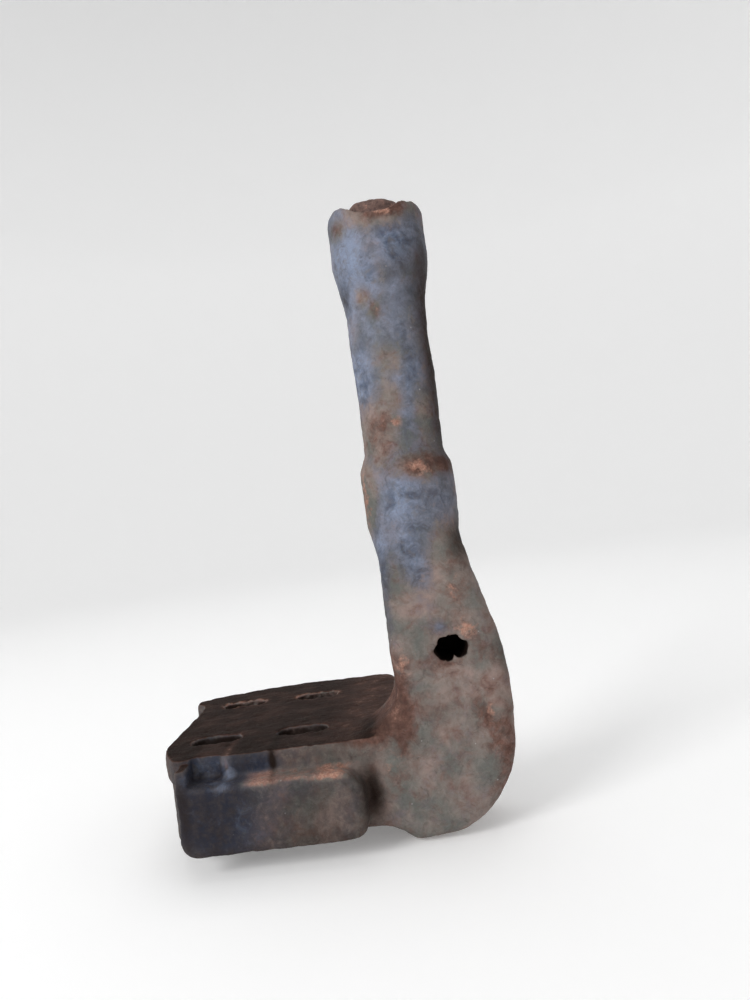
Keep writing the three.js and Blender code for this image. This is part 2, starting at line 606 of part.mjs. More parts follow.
function greaseNipple(collarRadius, height) {
  const seat = collarRadius + FIT_GAP;
  const tip = seat + NIPPLE_TIP_HEIGHT;
  const shankEnd = BUSH_SEAT + FIT_GAP;
  const body = union([
    turned([
      [0, shankEnd],
      [NIPPLE_SHANK_RADIUS, shankEnd],
      [NIPPLE_SHANK_RADIUS, seat + 1],
      [NIPPLE_NECK_RADIUS, seat + NIPPLE_HEX_HEIGHT - 0.5],
      [NIPPLE_NECK_RADIUS, tip - 3.4],
      [NIPPLE_BALL_RADIUS, tip - 2.6],
      [NIPPLE_BALL_RADIUS, tip - 1.4],
      [NIPPLE_NECK_RADIUS, tip],
      [0, tip],
    ], FITTING_STEPS),
    flatSided(6, NIPPLE_ACROSS_FLATS, seat, seat + NIPPLE_HEX_HEIGHT),
  ]);
  const port = rod(NIPPLE_PORT_RADIUS, shankEnd - CUT_MARGIN, tip + CUT_MARGIN, FITTING_STEPS / 2);
  return pointingBack(body.subtract(port), 0, height);
}

// ---------- materials ----------

function metal(color, roughness, metalness) {
  return new THREE.MeshStandardMaterial({ color, roughness, metalness });
}

const MATERIALS = {
  paintedIron: metal(0x46505e, 0.7, 0.2),
  rustedSteel: metal(0x6b4638, 0.8, 0.3),
  machinedSteel: metal(0x8e8c88, 0.4, 0.9),
  bronze: metal(0x9c7440, 0.4, 0.9),
  brass: metal(0xb08f4c, 0.35, 0.9),
  rubber: metal(0x1c1b1a, 0.9, 0),
};

// ---------- assembly ----------

const bracket = new THREE.Group();
const spindle = new THREE.Group();

function addPiece(group, name, solid, material) {
  const mesh = new THREE.Mesh(toGeometry(solid), material);
  mesh.name = name;
  group.add(mesh);
}

addPiece(bracket, 'bracket_casting', bracketCasting(), MATERIALS.paintedIron);
addPiece(bracket, 'upper_bush', bush(UPPER_BUSH_BOTTOM, UPPER_BUSH_LENGTH), MATERIALS.bronze);
addPiece(bracket, 'lower_bush', bush(LOWER_BUSH_BOTTOM, LOWER_BUSH_LENGTH), MATERIALS.bronze);
addPiece(bracket, 'thrust_disc', thrustDisc(), MATERIALS.machinedSteel);
addPiece(bracket, 'dust_seal', dustSeal(), MATERIALS.rubber);
addPiece(bracket, 'upper_grease_nipple', greaseNipple(UPPER_COLLAR_RADIUS, UPPER_NIPPLE_HEIGHT),
  MATERIALS.brass);
addPiece(bracket, 'lower_grease_nipple', greaseNipple(LOWER_COLLAR_RADIUS, LOWER_NIPPLE_HEIGHT),
  MATERIALS.brass);
addPiece(bracket, 'pin_retaining_screw', retainingScrew(), MATERIALS.rustedSteel);
addPiece(bracket, 'retaining_lock_nut', lockNut(), MATERIALS.rustedSteel);
addPiece(spindle, 'hinge_pin', hingePin(), MATERIALS.rustedSteel);

const hinge = new THREE.Group();
hinge.add(bracket, spindle);

export default hinge;
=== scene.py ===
"""Looks of the cast pivot hinge bracket: a rusted casting that still carries some of its blue paint.

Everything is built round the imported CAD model, in its frame: metres, +Z up the spindle, the foot at -X,
the front face at -Y. Lengths are in millimetres and are scaled by MM, but for the studio's, in metres.
"""

import json
import math

import bmesh
import bpy
import numpy as np
from mathutils import Matrix, Vector, noise


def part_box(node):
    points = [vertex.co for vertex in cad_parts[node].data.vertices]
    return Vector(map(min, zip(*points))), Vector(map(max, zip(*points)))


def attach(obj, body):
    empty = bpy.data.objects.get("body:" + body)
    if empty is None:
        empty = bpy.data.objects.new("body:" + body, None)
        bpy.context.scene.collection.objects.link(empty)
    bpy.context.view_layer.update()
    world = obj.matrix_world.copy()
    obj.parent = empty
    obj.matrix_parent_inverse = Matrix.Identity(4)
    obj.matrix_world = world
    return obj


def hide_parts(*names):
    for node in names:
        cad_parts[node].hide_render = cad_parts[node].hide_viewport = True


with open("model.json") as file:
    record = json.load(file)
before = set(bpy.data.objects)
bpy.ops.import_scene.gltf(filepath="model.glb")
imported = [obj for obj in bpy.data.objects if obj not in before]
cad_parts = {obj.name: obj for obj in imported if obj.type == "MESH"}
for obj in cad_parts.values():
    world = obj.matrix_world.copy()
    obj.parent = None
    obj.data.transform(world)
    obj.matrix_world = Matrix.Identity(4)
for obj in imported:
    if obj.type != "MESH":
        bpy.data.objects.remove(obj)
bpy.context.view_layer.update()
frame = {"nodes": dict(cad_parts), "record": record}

MM = 0.001
scene = bpy.context.scene


# ---------- places, read from the CAD ----------


def box_mm(node):
    """A node's lowest and highest corners in millimetres."""
    low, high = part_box(node)
    return np.array(low) / MM, np.array(high) / MM


def opening_mm(name):
    """Middle of a stated opening, in millimetres."""
    for opening in frame["record"]["physics"]["openings"]:
        if opening["name"] == name:
            return np.mean(opening["box_m"], 0) / MM
    raise ValueError(name)


CASTING_LOW, CASTING_HIGH = box_mm("bracket_casting")
PIN_LOW, PIN_HIGH = box_mm("hinge_pin")
AXIS = (PIN_LOW + PIN_HIGH) / 2
BARREL_TOP = CASTING_HIGH[2]
ROOT_HOLE = opening_mm("root_hole")
SLOTS = [opening_mm(f"slot_{row}_{side}") for row in ("front", "back") for side in ("left", "right")]
BACK_FITTINGS = [
    np.mean(box_mm(node), 0)
    for node in ("upper_grease_nipple", "lower_grease_nipple", "pin_retaining_screw")
]


# ---------- mesh tools ----------


def smoothstep(low, high, values):
    """Rises smoothly from 0 at low to 1 at high, or falls if low is the larger."""
    t = np.clip((values - low) / (high - low), 0, 1)
    return t * t * (3 - 2 * t)


def bare_mesh(node):
    """A node's shape as a plain welded mesh, with its flat areas joined into single faces."""
    mesh = bpy.data.meshes.new(node + "_bare")
    work = bmesh.new()
    work.from_mesh(frame["nodes"][node].data)
    bmesh.ops.remove_doubles(work, verts=work.verts, dist=0.002 * MM)
    bmesh.ops.dissolve_limit(work, angle_limit=math.radians(1), verts=work.verts, edges=work.edges)
    work.to_mesh(mesh)
    work.free()
    if "custom_normal" in mesh.attributes:
        mesh.attributes.remove(mesh.attributes["custom_normal"])
    return mesh


def with_modifier(mesh, kind, **settings):
    """The mesh after one modifier, applied."""
    holder = bpy.data.objects.new("holder", mesh)
    scene.collection.objects.link(holder)
    modifier = holder.modifiers.new("step", kind)
    for key, value in settings.items():
        setattr(modifier, key, value)
    seen = holder.evaluated_get(bpy.context.evaluated_depsgraph_get())
    made = bpy.data.meshes.new_from_object(seen)
    bpy.data.objects.remove(holder)
    return made


def points_of(mesh):
    """Vertex places in millimetres."""
    flat = np.empty(len(mesh.vertices) * 3)
    mesh.vertices.foreach_get("co", flat)
    return flat.reshape(-1, 3) / MM


def normals_of(mesh):
    """Vertex normals."""
    flat = np.empty(len(mesh.vertices) * 3)
    mesh.vertices.foreach_get("normal", flat)
    return flat.reshape(-1, 3)


def move_points(mesh, points):
    """Puts the vertices at places in millimetres."""
    mesh.vertices.foreach_set("co", (points * MM).ravel())
    mesh.update()


def neighbour_mean(mesh):
    """A function that averages any per-vertex values over each vertex's neighbours."""
    flat = np.empty(len(mesh.edges) * 2, np.int32)
    mesh.edges.foreach_get("vertices", flat)
    a, b = flat.reshape(-1, 2).T
    count = len(mesh.vertices)
    degree = np.maximum(np.bincount(a, minlength=count) + np.bincount(b, minlength=count), 1)

    def mean(values):
        columns = values.reshape(count, -1).T
        total = [
            np.bincount(a, column[b], count) + np.bincount(b, column[a], count) for column in columns
        ]
        return (np.stack(total, 1) / degree[:, None]).reshape(values.shape)

    return mean


def rough(points, size, seed, octaves=3):
    """Fractal noise of about -1 to 1 with features of a size in millimetres."""
    shift = np.array([seed * 17.3, seed * 5.9, seed * 11.1])
    places = (points / size + shift).tolist()
    return np.array([noise.fractal(place, 0.9, 2.1, octaves) for place in places])


def shown(name, mesh, node, body, material):
    """Puts a mesh in place of a CAD node."""
    mesh.name = name
    mesh.materials.clear()
    mesh.materials.append(material)
    piece = bpy.data.objects.new(name, mesh)
    scene.collection.objects.link(piece)
    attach(piece, body)
    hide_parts(node)
    return piece


def store(mesh, name, values):
    """Keeps one value per vertex under a name, for a material's field() to read."""
    attribute = mesh.attributes.new(name, "FLOAT", "POINT")
    attribute.data.foreach_set("value", values.astype(np.float32))


# ---------- material tools ----------


def put(tree, kind, values=(), **settings):
    """Adds a shader node. A value that is a socket is linked, any other is set."""
    made = tree.nodes.new("ShaderNode" + kind)
    for key, value in settings.items():
        setattr(made, key, value)
    for key, value in dict(values).items():
        if isinstance(value, bpy.types.NodeSocket):
            tree.links.new(value, made.inputs[key])
        else:
            made.inputs[key].default_value = value
    return made


def mixed(tree, share, first, second):
    """The first colour, turning into the second as the share goes from 0 to 1."""
    return put(tree, "Mix", {0: share, 6: first, 7: second}, data_type="RGBA").outputs[2]


def sum_of(tree, first, second, operation="ADD"):
    """The sum of two values, or what another operation makes of them."""
    return put(tree, "Math", {0: first, 1: second}, operation=operation).outputs[0]


def ramp(tree, value, low, high, out_low=0.0, out_high=1.0):
    """A smooth step of a value, from out_low to out_high as it goes from low to high."""
    values = {"Value": value, "From Min": low, "From Max": high, "To Min": out_low, "To Max": out_high}
    return put(tree, "MapRange", values, interpolation_type="SMOOTHSTEP").outputs["Result"]


def noise_of(tree, place, size, detail=4.0, roughness=0.6, warp=0.0):
    """Noise of 0 to 1 with features of a size in millimetres."""
    values = {"Vector": place, "Scale": 1 / size, "Detail": detail}
    values |= {"Roughness": roughness, "Distortion": warp}
    return put(tree, "TexNoise", values).outputs["Fac"]


def field(tree, name):
    """A vertex attribute that colour_fields() stored."""
    return put(tree, "Attribute", attribute_name=name).outputs["Fac"]


def patchy(tree, amount, grain, reach=1.0, soft=0.12):
    """Turns a smooth amount into patches with chipped edges: grain is the noise that breaks it up."""
    swing = sum_of(tree, sum_of(tree, grain, 0.5, "SUBTRACT"), reach, "MULTIPLY")
    return ramp(tree, sum_of(tree, amount, swing), 0.5 - soft, 0.5 + soft)


def new_material(name):
    """A material with its node tree, the place in millimetres, and its empty shader."""
    material = bpy.data.materials.new(name)
    material.use_nodes = True
    tree = material.node_tree
    tree.nodes.clear()
    place = put(tree, "VectorMath", {0: put(tree, "TexCoord").outputs["Object"]}, operation="SCALE")
    place.inputs["Scale"].default_value = 1 / MM
    shader = put(tree, "BsdfPrincipled")
    put(tree, "OutputMaterial", {"Surface": shader.outputs[0]})
    return material, tree, place.outputs[0], shader


def bump_on(tree, shader, height, distance):
    """Bump on the shader, from a height of 0 to 1 that stands for a distance in millimetres."""
    values = {"Height": height, "Distance": distance * MM, "Strength": 1.0}
    tree.links.new(put(tree, "Bump", values).outputs["Normal"], shader.inputs["Normal"])


def linear(red, green, blue):
    """A colour given as 0-255 display values."""
    return tuple(((c / 255 + 0.055) / 1.055) ** 2.4 for c in (red, green, blue)) + (1.0,)


# ---------- the casting's material ----------


IRON_WARM, IRON_COOL = linear(144, 126, 119), linear(114, 117, 112)
IRON_BROWN, IRON_PALE = linear(124, 101, 93), linear(154, 138, 132)
RUST_DEEP, RUST_LIGHT, RUST_SPECK = linear(84, 58, 51), linear(128, 94, 82), linear(72, 54, 48)
# Bright rust tones, which also serve as painted glints on edges and steps.
RUST_GLINT_BRIGHT, RUST_GLINT_DULL = linear(196, 154, 134), linear(160, 112, 96)
# The blue paint in a shaded and a highlit tone, which give it painted shade and highlight, and its worn tone.
PAINT_SHADE_DEEP, PAINT_HIGHLIGHT_PALE, PAINT_WORN = linear(42, 57, 80), linear(130, 142, 165), linear(118, 114, 116)
STAIN, SPECK, GRIME = linear(66, 56, 54), linear(184, 180, 180), linear(60, 52, 50)
# Edges lightened by rubbing and by a painted highlight; painted shade in creases; painted shade with some
# grime.
RUBBED_EDGE_AND_HIGHLIGHT, CREVICE_SHADE, SHADE = linear(160, 146, 138), linear(52, 44, 43), linear(28, 16, 10)
IRON_GLOSS, PAINT_GLOSS = (0.86, 0.86, 0.86, 1), (0.52, 0.52, 0.52, 1)  # as roughness
CASTING_SPECULAR = 0.14
CASTING_BUMP = 0.55


def casting_material():
    """Bare iron, then rust, bright rust with painted glints, paint with painted highlight and shade, stains,
    dirt, edges lightened partly by a painted highlight, and painted shade in creases and elsewhere, laid over
    one another.
    """
    material, tree, place, shader = new_material("worn_casting")
    broad = noise_of(tree, place, 16, 3, 0.5, 0.4)
    middle = noise_of(tree, place, 6, 5, 0.65, 0.6)
    chips = noise_of(tree, place, 3.2, 6, 0.7, 0.3)
    fine = noise_of(tree, place, 0.9, 4, 0.7)
    spots = put(tree, "TexVoronoi", {"Vector": place, "Scale": 0.30, "Randomness": 1.0})

    bare = mixed(tree, ramp(tree, broad, 0.3, 0.7), IRON_WARM, IRON_COOL)
    bare = mixed(tree, ramp(tree, middle, 0.42, 0.76, 0.0, 0.75), bare, IRON_BROWN)
    bare = mixed(tree, ramp(tree, chips, 0.5, 0.8, 0.0, 0.5), bare, IRON_PALE)
    rust = mixed(tree, ramp(tree, chips, 0.3, 0.7), RUST_DEEP, RUST_LIGHT)
    rust = mixed(tree, ramp(tree, fine, 0.45, 0.8, 0.0, 0.6), rust, RUST_SPECK)
    colour = mixed(tree, patchy(tree, field(tree, "rust"), middle, 1.2, 0.34), bare, rust)

    # Bright rust, with painted glints where edges and steps catch the light.
    rust_and_glint = mixed(tree, ramp(tree, fine, 0.3, 0.7), RUST_GLINT_BRIGHT, RUST_GLINT_DULL)
    colour = mixed(tree, patchy(tree, field(tree, "orange"), chips, 2.2, 0.3), colour, rust_and_glint)

    # Painted highlight and shade on the paint, with some random tone.
    lit = sum_of(tree, field(tree, "light"), ramp(tree, middle, 0.3, 0.75, -0.3, 0.3))
    paint = mixed(tree, ramp(tree, lit, 0.1, 0.9), PAINT_SHADE_DEEP, PAINT_HIGHLIGHT_PALE)
    paint = mixed(tree, ramp(tree, chips, 0.4, 0.75, 0.0, 0.75), paint, PAINT_WORN)
    paint_share = patchy(tree, field(tree, "paint"), chips, 1.6, 0.46)
    colour = mixed(tree, paint_share, colour, paint)

    stain = ramp(tree, noise_of(tree, place, 4.5, 5, 0.75, 1.0), 0.52, 0.76, 0.0, 0.55)
    colour = mixed(tree, stain, colour, STAIN)
    speck = ramp(tree, spots.outputs["Distance"], 0.05, 0.13, 1.0, 0.0)
    chosen = put(tree, "SeparateColor", {"Color": spots.outputs["Color"]}).outputs[0]
    speck = sum_of(tree, speck, ramp(tree, chosen, 0.92, 0.95, 0.0, 0.7), "MULTIPLY")
    colour = mixed(tree, speck, colour, SPECK)
    grime = sum_of(tree, noise_of(tree, place, 2.2, 6, 0.75, 0.8), broad)
    colour = mixed(tree, ramp(tree, grime, 0.75, 1.3, 0.0, 0.42), colour, GRIME)

    # Convex edges lighten, which is rubbed wear and partly a painted highlight; hollows and creases darken
    # with painted shade.
    relief = field(tree, "relief")
    colour = mixed(tree, ramp(tree, relief, 0.6, 1.0, 0.0, 0.3), colour, RUBBED_EDGE_AND_HIGHLIGHT)
    colour = mixed(tree, ramp(tree, relief, 0.44, 0.0, 0.0, 0.6), colour, CREVICE_SHADE)
    # Painted shade, with some grime, from the dark field.
    shade = sum_of(tree, field(tree, "dark"), ramp(tree, chips, 0.3, 0.7, -0.06, 0.06))
    colour = mixed(tree, ramp(tree, shade, 0.0, 1.0), colour, SHADE)
    tree.links.new(colour, shader.inputs["Base Color"])

    dull = mixed(tree, paint_share, IRON_GLOSS, PAINT_GLOSS)
    sheen = sum_of(tree, dull, ramp(tree, fine, 0.3, 0.7, -0.1, 0.12))
    tree.links.new(sheen, shader.inputs["Roughness"])
    shader.inputs["Specular IOR Level"].default_value = CASTING_SPECULAR

    height = sum_of(tree, sum_of(tree, chips, 0.5, "MULTIPLY"), sum_of(tree, fine, 0.35, "MULTIPLY"))
    height = sum_of(tree, height, sum_of(tree, paint_share, 0.16, "MULTIPLY"))
    bump_on(tree, shader, height, CASTING_BUMP)
    return material


# ---------- the casting ----------

# Patches seen on the front, as (x, z, half width, half height, strength), in millimetres of the frame.
PATCHES = {
    "paint": [
        (62, 187, 8, 18, 0.5),        # left of the upper collar
        (80, 190, 14, 12, 0.4),
        (70, 172, 13, 16, 0.35),
        (62, 138, 5, 15, 0.55),       # left edge, half way down the barrel
        (79, 130, 6, 26, 0.4),
        (72, 90, 13, 12, 0.36),       # lower collar and the top of the neck
        (72, 64, 8, 12, 0.4),
        (60, 62, 3, 34, 0.5),
        (-12, -18, 16, 20, 1.15),     # left part of the foot's front block
        (3, -4, 8, 5, 0.95),
        (-22, -4, 4, 8, 0.8),
        (24, -22, 10, 14, -0.3),      # grey iron right of it
        (34, -4, 14, 5, -0.3),
        (79, 38.5, 3, 2.5, 0.6),      # above the root hole
        (66, 176, 5, 30, 0.3),
    ],
    "bare": [
        (75, 201, 12, 7, 1.1),        # under the dip in the rim
        (88, 203, 4, 5, 0.6),
        (74, 143, 7, 8, 0.55),
        (72, 127, 7, 8, 0.55),
        (65, 116, 10, 12, 0.8),       # left, above the lower collar
        (83, 121, 5, 12, 0.6),
        (79, 101, 12, 5, 0.8),        # on the lower collar's top step
        (58, 92, 4, 16, 0.9),
        (66, 169, 4, 5, 0.7),
        (70, 163, 3, 4, 0.6),
        (60, 196, 4, 6, 0.6),
        (86, 60, 8, 16, 0.9),
        (78, 112, 4, 5, 0.35),
        (66, 50, 6, 16, 0.4),
        (74, 176, 4, 14, 0.35),
    ],
    "rust": [
        (76, 202, 12, 6, 0.95),
        (60, 198, 4, 4, 0.6),
        (90, 150, 4, 40, 0.55),       # right edge of the barrel
        (70, 163, 4, 5, 0.4),
        (66, 116, 6, 9, 0.35),
        (79, 101, 9, 5, 0.5),
        (89, 100, 4, 4, 0.7),
        (87, 60, 4, 14, 0.3),
        (60, 10, 5, 18, 0.9),         # beside the fillet
        (54, 9, 10, 9, 1.0),
        (46, 3, 12, 7, 1.1),
        (92, 3, 6, 6, 0.4),
        (98, -10, 6, 22, 0.5),
        (58, -12, 12, 14, 0.1),
        (78, 24, 8, 5, 0.3),
        (24, -16, 12, 14, -0.3),      # less on the grey iron of the block and the band
        (34, -4, 14, 5, -0.3),
    ],
    # Bright rust, with painted glints on edges and steps that face the light.
    "orange": [
        (78, 200.5, 5, 2.5, 0.7),
        (72, 201, 3, 1.5, 0.45),
        (80, 100, 5, 3.5, 0.8),
        (73, 119, 3, 2.5, 0.7),
        (57, 90, 2.5, 13, 0.55),
        (70, 164, 2, 2.5, 0.45),
        (89, 37, 4.5, 4, 0.7),        # right above the root hole
        (63, 27, 5, 6, 0.45),
        (94, 5, 3, 3, 0.6),
        (86, 52, 4, 6, 0.4),
        (5, -8.4, 9, 1.9, 0.85),      # painted highlight along the block's ledge, over rust
        (31, -9, 10, 1.7, 0.8),
        (18, -8.5, 12, 1.0, 0.55),
        (-8.8, -4, 1.5, 5, 0.7),
        (56, 11, 4, 8, 0.3),
        (54, -12, 8, 8, 0.25),
    ],
    # Painted highlights on the paint.
    "light": [
        (62, 188, 7, 14, 0.6),
        (64, 176, 6, 10, 0.35),
        (67, 160, 9, 30, 0.25),
        (66, 95, 8, 12, 0.2),
        (-7, -7, 2.5, 3, 0.6),
        (-10, -9, 5, 1.5, 0.4),
        (-18, -4, 7, 4, 0.3),
    ],
    # Painted shade, with some grime; the negative ones lighten.
    "dark": [
        (92, 146, 8, 62, 0.92),       # painted shade, with some grime, down the right side of the barrel
        (-16, -16, 22, 26, 0.22),     # left end of the foot
        (84, 183, 8, 12, 0.42),
        (84, 140, 4, 30, 0.25),
        (91, 70, 6, 14, 0.7),
        (88, 77, 7, 8, 0.35),
        (59, 172, 2.5, 8, 0.5),
        (60, 60, 3, 26, 0.25),
        (102, 28, 4, 18, 0.4),
        (74, 7, 6, 6, 0.25),
        (50, 6, 10, 9, 0.5),          # painted shade in the fillet
        (60, 14, 4, 16, 0.2),
        (46, -20, 6, 17, 0.9),        # painted shadow in the hollow right of the block
        (-14, -34, 34, 5, 0.25),
        (-24, -14, 4, 24, 0.35),
        (24, -33, 30, 5, 0.15),
        (9, -4, 1.5, 6, 0.7),
        (-18, -4, 7, 5, -0.4),        # lit panel in the notch
        (-9, -4, 2.5, 5, -0.35),
    ],
}
PATCH_FALL = 1.2                     # how fast a patch fades outside its half width and half height
FRONT_ZONE = AXIS[1] - 3             # what lies behind this sees less and less of the front's patches
FRONT_FADE = 14
RIM_DIP_DEPTH = 6.5                  # the CAD's dip in the rim, and where it ends in front of the axis
RIM_DIP_RADIUS = 24
RIM_DIP_END = -7.5
RIM_EASE = 12                        # length over which the rim comes up again behind the dip
RIM_LIFTS = ((-12, 4, 1.2), (10.5, 3, 1.8))  # place across, half width, rise
HOLE_LUMPS = ((-1.25, 0.30, 2.3), (2.75, 0.25, 0.9), (0.55, 0.2, 0.8), (-2.6, 0.2, 0.5))  # angle, width, rise
SLOT_HALF_RUN = 5                    # from a slot's middle to the centre of its round end
SLOT_END_RADIUS = 5.5
BORE_BOTTOM = PIN_LOW[2] - 6         # a little below the bore's floor
BORE_SKIN = (14.2, 15.4)             # between these distances from the axis machined turns into rough
FITTING_SKIN = (4.6, 7.5)            # the same round the holes for the nipples and the screw
ROOT_FACE_IN = 10                    # the face round the root hole lies this far behind the casting's front
LEDGE_IN, LEDGE_HEIGHT, LEDGE_END = 16, -4, 45  # the front block's ledge: how far in, how high, its right end
SWELL_SIZE, SWELL_HEIGHT = 24, 0.55  # the skin's layers, from broad to fine: feature size and height
LUMP_SIZE, LUMP_HEIGHT = 8, 0.26
GRAIN_SIZE, GRAIN_HEIGHT = 2.6, 0.12
PIT_SIZE, PIT_DEPTH = 4.2, 0.22
WEAR_SIZE, WEAR_HEIGHT = 2.4, 0.75   # broken edges of the slots
CASTING_VOXEL = 0.72
CASTING_FACES = 190_000
EDGE_SOFTENINGS = 9                  # passes of smoothing that round the CAD's edges
CRISP_PULL, SOFT_PULL = 0.22, 0.55   # how much each pass moves the ledge's edge, and all others


def patches(points, name):
    """Strongest of the named front patches at each point, less the strongest of those that take away."""
    behind = np.clip(points[:, 1] - FRONT_ZONE, 0, None) / FRONT_FADE
    most, least = np.zeros(len(points)), np.zeros(len(points))
    for x, z, half_width, half_height, strength in PATCHES[name]:
        away = ((points[:, 0] - x) / half_width) ** 2 + ((points[:, 2] - z) / half_height) ** 2
        amount = strength * np.exp(-PATCH_FALL * away - behind**2)
        most, least = np.maximum(most, amount), np.minimum(least, amount)
    return most + least


def from_axis(points, centre, axes):
    """Distance of each point from a line along the remaining axis."""
    return np.hypot(*(points[:, a] - centre[a] for a in axes))


def working_faces(points):
    """0 on the bore and the fitting holes, whose faces stay as machined, and 1 on the rough skin."""
    keep = smoothstep(*BORE_SKIN, from_axis(points, AXIS, (0, 1)))
    inside = np.where(points[:, 2] > BORE_BOTTOM, keep, 1)
    for fitting in BACK_FITTINGS:
        hole = smoothstep(*FITTING_SKIN, from_axis(points, fitting, (0, 2)))
        inside = np.where(points[:, 1] > AXIS[1], inside * hole, inside)
    return inside


def ragged_hole(points):
    """The root hole has broken edges: its front rim is pushed inwards in lumps."""
    offset = points[:, [0, 2]] - ROOT_HOLE[[0, 2]]
    radius = np.hypot(*offset.T)
    angle = np.arctan2(offset[:, 1], offset[:, 0])
    depth = points[:, 1] - CASTING_LOW[1] - ROOT_FACE_IN
    lumps = 2.1 * np.abs(np.sin(angle)) ** 2 - 0.7
    for centre, width, rise in HOLE_LUMPS:
        turn = np.angle(np.exp(1j * (angle - centre)))
        lumps = lumps + rise * np.exp(-((turn / width) ** 2))
    lumps = lumps + 0.55 * rough(points * [1, 0.4, 1], 2.2, seed=9)
    reach = smoothstep(9.5, 6.3, radius) * smoothstep(8, 2, depth)
    inward = -offset / np.maximum(radius, 0.1)[:, None]
    points[:, [0, 2]] += inward * (lumps * reach)[:, None]
    return points


def slot_gap(points):
    """How far each point lies outside the nearest slot's wall, in plan."""
    gaps = []
    for slot in SLOTS:
        along = np.clip(np.abs(points[:, 0] - slot[0]) - SLOT_HALF_RUN, 0, None)
        gaps.append(np.hypot(along, points[:, 1] - slot[1]) - SLOT_END_RADIUS)
    return np.min(gaps, 0)


def slot_wear(points):
    """Closeness to a slot's upper rim, from 0 to 1, and more at the back pair."""
    near = smoothstep(3.2, 0.6, np.abs(slot_gap(points))) * smoothstep(-5, -1, points[:, 2])
    return near * np.where(points[:, 1] > 0, 1.0, 0.5)


def even_rim(points):
    """Eases the rim down to the dip, which the CAD ends in a step, and lifts the shoulders beside it."""
    across, back = (points[:, :2] - AXIS[:2]).T
    drop = np.clip(RIM_DIP_RADIUS**2 - across**2, 0, None) ** 0.5 - RIM_DIP_RADIUS + RIM_DIP_DEPTH
    floor = BARREL_TOP - np.clip(drop, 0, None)
    share = smoothstep(RIM_DIP_END, RIM_DIP_END + RIM_EASE, back)
    points[:, 2] = np.minimum(points[:, 2], floor + np.clip(points[:, 2] - floor, 0, None) * share)
    for place, half_width, rise in RIM_LIFTS:
        lift = rise * np.exp(-(((across - place) / half_width) ** 2)) * smoothstep(6, -6, back)
        points[:, 2] += lift * smoothstep(BARREL_TOP - 16, BARREL_TOP - 4, points[:, 2])
    return points


def cast_skin(mesh):
    """Softens the CAD's edges as a mould does, then adds the skin of a rusted sand casting."""
    points = even_rim(points_of(mesh))
    mean = neighbour_mean(mesh)
    crisp = (points[:, 1] < CASTING_LOW[1] + LEDGE_IN) & (np.abs(points[:, 2] - LEDGE_HEIGHT) < 6)
    crisp &= points[:, 0] < LEDGE_END
    rim = smoothstep(BARREL_TOP - 8, BARREL_TOP - 5, points[:, 2])
    soft = np.maximum(0.25 + 0.75 * working_faces(points), rim)
    pull = (np.where(crisp, CRISP_PULL, SOFT_PULL) * soft)[:, None]
    for _ in range(EDGE_SOFTENINGS):
        points += (mean(points) - points) * pull
    points = ragged_hole(points)
    move_points(mesh, points)

    skin = working_faces(points)
    flat_top = smoothstep(-1.5, -0.5, points[:, 2]) * smoothstep(40, 34, points[:, 0])
    swell = rough(points, SWELL_SIZE, seed=1, octaves=2) * SWELL_HEIGHT * (1 - 0.7 * flat_top)
    lumps = rough(points, LUMP_SIZE, seed=2) * LUMP_HEIGHT
    grain = rough(points, GRAIN_SIZE, seed=3) * GRAIN_HEIGHT
    pits = smoothstep(0.34, 0.7, rough(points, PIT_SIZE, seed=4, octaves=2)) * -PIT_DEPTH
    edge = slot_wear(points) * rough(points, WEAR_SIZE, seed=5, octaves=2) * WEAR_HEIGHT
    height = (swell + lumps + grain + pits) * skin + edge
    move_points(mesh, points + normals_of(mesh) * height[:, None])


